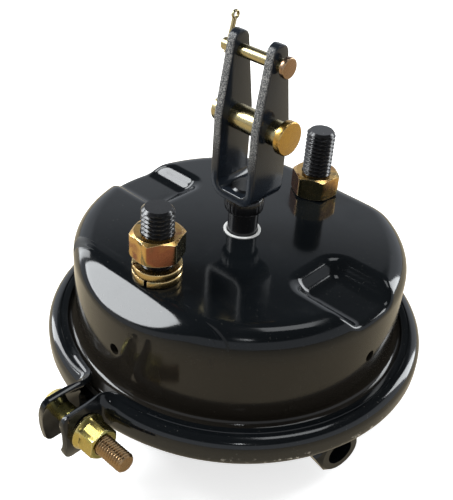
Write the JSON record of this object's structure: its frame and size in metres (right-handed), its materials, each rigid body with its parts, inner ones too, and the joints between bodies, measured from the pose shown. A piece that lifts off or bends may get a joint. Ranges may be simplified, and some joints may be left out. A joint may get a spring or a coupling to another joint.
{
  "type": "air brake chamber",
  "caption": "Diaphragm brake chamber: stamped housing and pressure plate held by a clamp ring, two mounting studs, and a sprung push rod with a pinned yoke.",
  "frame": {"origin": "centre of the upper housing's flat mounting face, on the push rod's axis", "axes": "+Z along the push rod, out of the chamber; X along the line of the two mounting studs"},
  "size_m": [0.252, 0.2056, 0.2093],
  "materials": {
    "black_paint": "gloss",
    "yoke_paint": "gloss",
    "white_nylon": "satin",
    "rubber": "matte",
    "grey_steel": "satin",
    "spring_steel": "satin",
    "yellow_zinc": "satin"
  },
  "bodies": {
    "chamber": {"non_pressure_housing": "black_paint", "rod_guide_bush": "white_nylon", "pressure_plate": "black_paint", "port_boss": "black_paint", "diaphragm": "rubber", "return_spring": "spring_steel", "stud_left": "black_paint", "stud_right": "black_paint", "stud_nut_left": "yellow_zinc", "stud_nut_right": "yellow_zinc", "spring_washer_lower": "yellow_zinc", "spring_washer_upper": "yellow_zinc", "clamp_half_rear": "black_paint", "clamp_half_front": "black_paint", "clamp_bolt_left": "yellow_zinc", "clamp_nut_left": "yellow_zinc", "clamp_bolt_right": "yellow_zinc", "clamp_nut_right": "yellow_zinc"},
    "push_rod_assembly": {"push_rod": "black_paint", "push_plate": "grey_steel", "yoke": "yoke_paint", "yoke_weld": "yoke_paint"},
    "clevis_pin_set": {"clevis_pin": "yellow_zinc", "clevis_cotter": "yellow_zinc"},
    "link_pin_set": {"link_pin": "yellow_zinc", "link_cotter": "yellow_zinc"}
  },
  "joints": [
    {"name": "push_rod_slide", "type": "slide", "parent": "chamber", "child": "push_rod_assembly", "axis": [0, 0, 1], "range_m": [0, 0.0635], "stiffness_N_per_m": 1500, "springref_m": -0.12, "deforming": ["return_spring", "diaphragm"]},
    {"name": "clevis_pin_turn", "type": "hinge", "parent": "push_rod_assembly", "child": "clevis_pin_set", "pos_m": [0, 0, 0.0617], "axis": [0, 1, 0], "continuous": true},
    {"name": "link_pin_turn", "type": "hinge", "parent": "push_rod_assembly", "child": "link_pin_set", "pos_m": [0, 0, 0.095], "axis": [0, 1, 0], "continuous": true}
  ]
}
